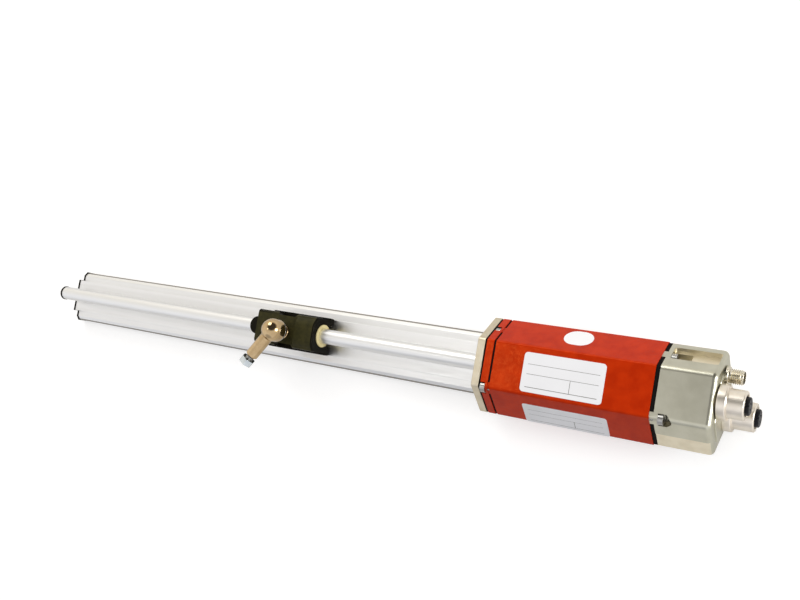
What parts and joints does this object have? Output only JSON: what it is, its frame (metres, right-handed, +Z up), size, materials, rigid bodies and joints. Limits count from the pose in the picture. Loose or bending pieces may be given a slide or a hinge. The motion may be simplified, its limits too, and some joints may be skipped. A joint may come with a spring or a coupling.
{
  "type": "magnetostrictive linear position sensor",
  "caption": "Linear position sensor: aluminium profile rail, captive magnet slider with ball joint, red six-sided electronics head and round connectors.",
  "frame": {"origin": "middle of the channel mouth in the rail's flat underside, at the front face of the flange plate", "axes": "+X along the rail towards the connectors, +Y across the rail, +Z up from the mounting plane"},
  "size_m": [0.4999, 0.0542, 0.0502],
  "materials": {
    "anodised_rail": "satin",
    "plate_metal": "satin",
    "cast_metal": "satin",
    "red_paint": "gloss",
    "gasket_rubber": "matte",
    "black_plastic": "satin",
    "cream_plastic": "matte",
    "joint_chrome": "polished",
    "nickel_shell": "satin",
    "screw_steel": "satin",
    "plug_brass": "satin",
    "copper_wire": "satin",
    "circuit_board": "gloss",
    "ferrite": "matte"
  },
  "bodies": {
    "housing": {"rail_extrusion": "anodised_rail", "rail_end_cap": "black_plastic", "end_cap_screws": "screw_steel", "flange_plate": "plate_metal", "rail_screws": "screw_steel", "plate_screws": "screw_steel", "front_gasket": "gasket_rubber", "front_ring": "red_paint", "middle_gasket": "gasket_rubber", "housing_sleeve": "red_paint", "rear_gasket": "gasket_rubber", "connector_cap": "cast_metal", "front_screws": "screw_steel", "rear_screws": "screw_steel", "upper_socket_shell": "nickel_shell", "upper_socket_insert": "black_plastic", "lower_socket_shell": "nickel_shell", "lower_socket_insert": "black_plastic", "plug_shell": "plug_brass", "plug_insert": "black_plastic", "plug_pins": "plug_brass", "lock_rings": "nickel_shell", "element_tube": "screw_steel", "magnetostrictive_wire": "screw_steel", "return_wire": "copper_wire", "element_block": "cream_plastic", "pickup_coil": "copper_wire", "element_damper": "gasket_rubber", "circuit_tray": "black_plastic", "interface_board": "circuit_board", "signal_board": "circuit_board", "board_spacers": "cream_plastic", "board_screws": "screw_steel"},
    "slider": {"slider_body": "black_plastic", "rear_glide_liner": "cream_plastic", "front_glide_liner": "cream_plastic", "ring_magnet": "ferrite", "ball_stud": "joint_chrome"},
    "joint_cup": {"bearing_cup": "cream_plastic"},
    "joint_spring": {"pressure_cap": "screw_steel"},
    "joint_socket": {"ball_socket": "joint_chrome", "retaining_clip": "screw_steel", "threaded_pin": "screw_steel", "lock_nut": "joint_chrome"}
  },
  "joints": [
    {"name": "slider_travel", "type": "slide", "parent": "housing", "child": "slider", "axis": [1, 0, 0], "range_m": [-0.184, 0.109]},
    {"name": "joint_swivel", "type": "hinge", "parent": "slider", "child": "joint_cup", "pos_m": [-0.1363, -0.0016, 0.0431], "axis": [0, 0, 1], "continuous": true},
    {"name": "joint_tilt", "type": "hinge", "parent": "joint_cup", "child": "joint_spring", "pos_m": [-0.1363, -0.0016, 0.0431], "axis": [0.809, -0.5878, 0], "range_deg": [-12, 12]},
    {"name": "joint_roll", "type": "hinge", "parent": "joint_spring", "child": "joint_socket", "pos_m": [-0.1363, -0.0016, 0.0431], "axis": [-0.5878, -0.809, 0], "range_deg": [-18, 18]}
  ]
}
